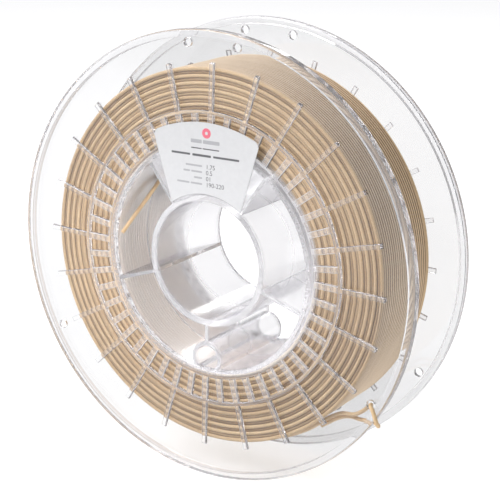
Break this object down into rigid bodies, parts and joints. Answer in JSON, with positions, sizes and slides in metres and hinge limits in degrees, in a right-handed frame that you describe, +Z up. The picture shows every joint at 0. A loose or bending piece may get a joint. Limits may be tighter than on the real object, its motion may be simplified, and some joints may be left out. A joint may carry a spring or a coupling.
{
  "type": "filament spool",
  "caption": "Clear two-part spool with ribbed flanges and an open webbed core, wound with tan wood-filled printing filament, its end threaded through a rim hole.",
  "frame": {"origin": "centre of the bore, halfway between the two rim faces", "axes": "+Y along the bore axis from the labelled face to the rear face, +Z up as the spool stands on its rims, +X to the right for someone who reads the label"},
  "size_m": [0.2, 0.0548, 0.2],
  "materials": {
    "clear_plastic": "clear, polished moulding with faint lavender edges",
    "wood_filament": "matt, light wood tan",
    "label_paper": "satin white sticker with grey print"
  },
  "bodies": {
    "root": {"filament_inner_end": "wood_filament", "filament_outer_end": "wood_filament", "filament_winding": "wood_filament", "front_boss": "clear_plastic", "front_drum": "clear_plastic", "front_flange": "clear_plastic", "front_hub": "clear_plastic", "front_label_shelf": "clear_plastic", "front_web_bottom": "clear_plastic", "front_web_left": "clear_plastic", "front_web_right": "clear_plastic", "front_web_upper_left": "clear_plastic", "front_web_upper_right": "clear_plastic", "label": "label_paper", "rear_boss": "clear_plastic", "rear_drum": "clear_plastic", "rear_flange": "clear_plastic", "rear_hub": "clear_plastic", "rear_web_bottom": "clear_plastic", "rear_web_left": "clear_plastic", "rear_web_right": "clear_plastic", "rear_web_upper_left": "clear_plastic", "rear_web_upper_right": "clear_plastic"}
  },
  "joints": []
}
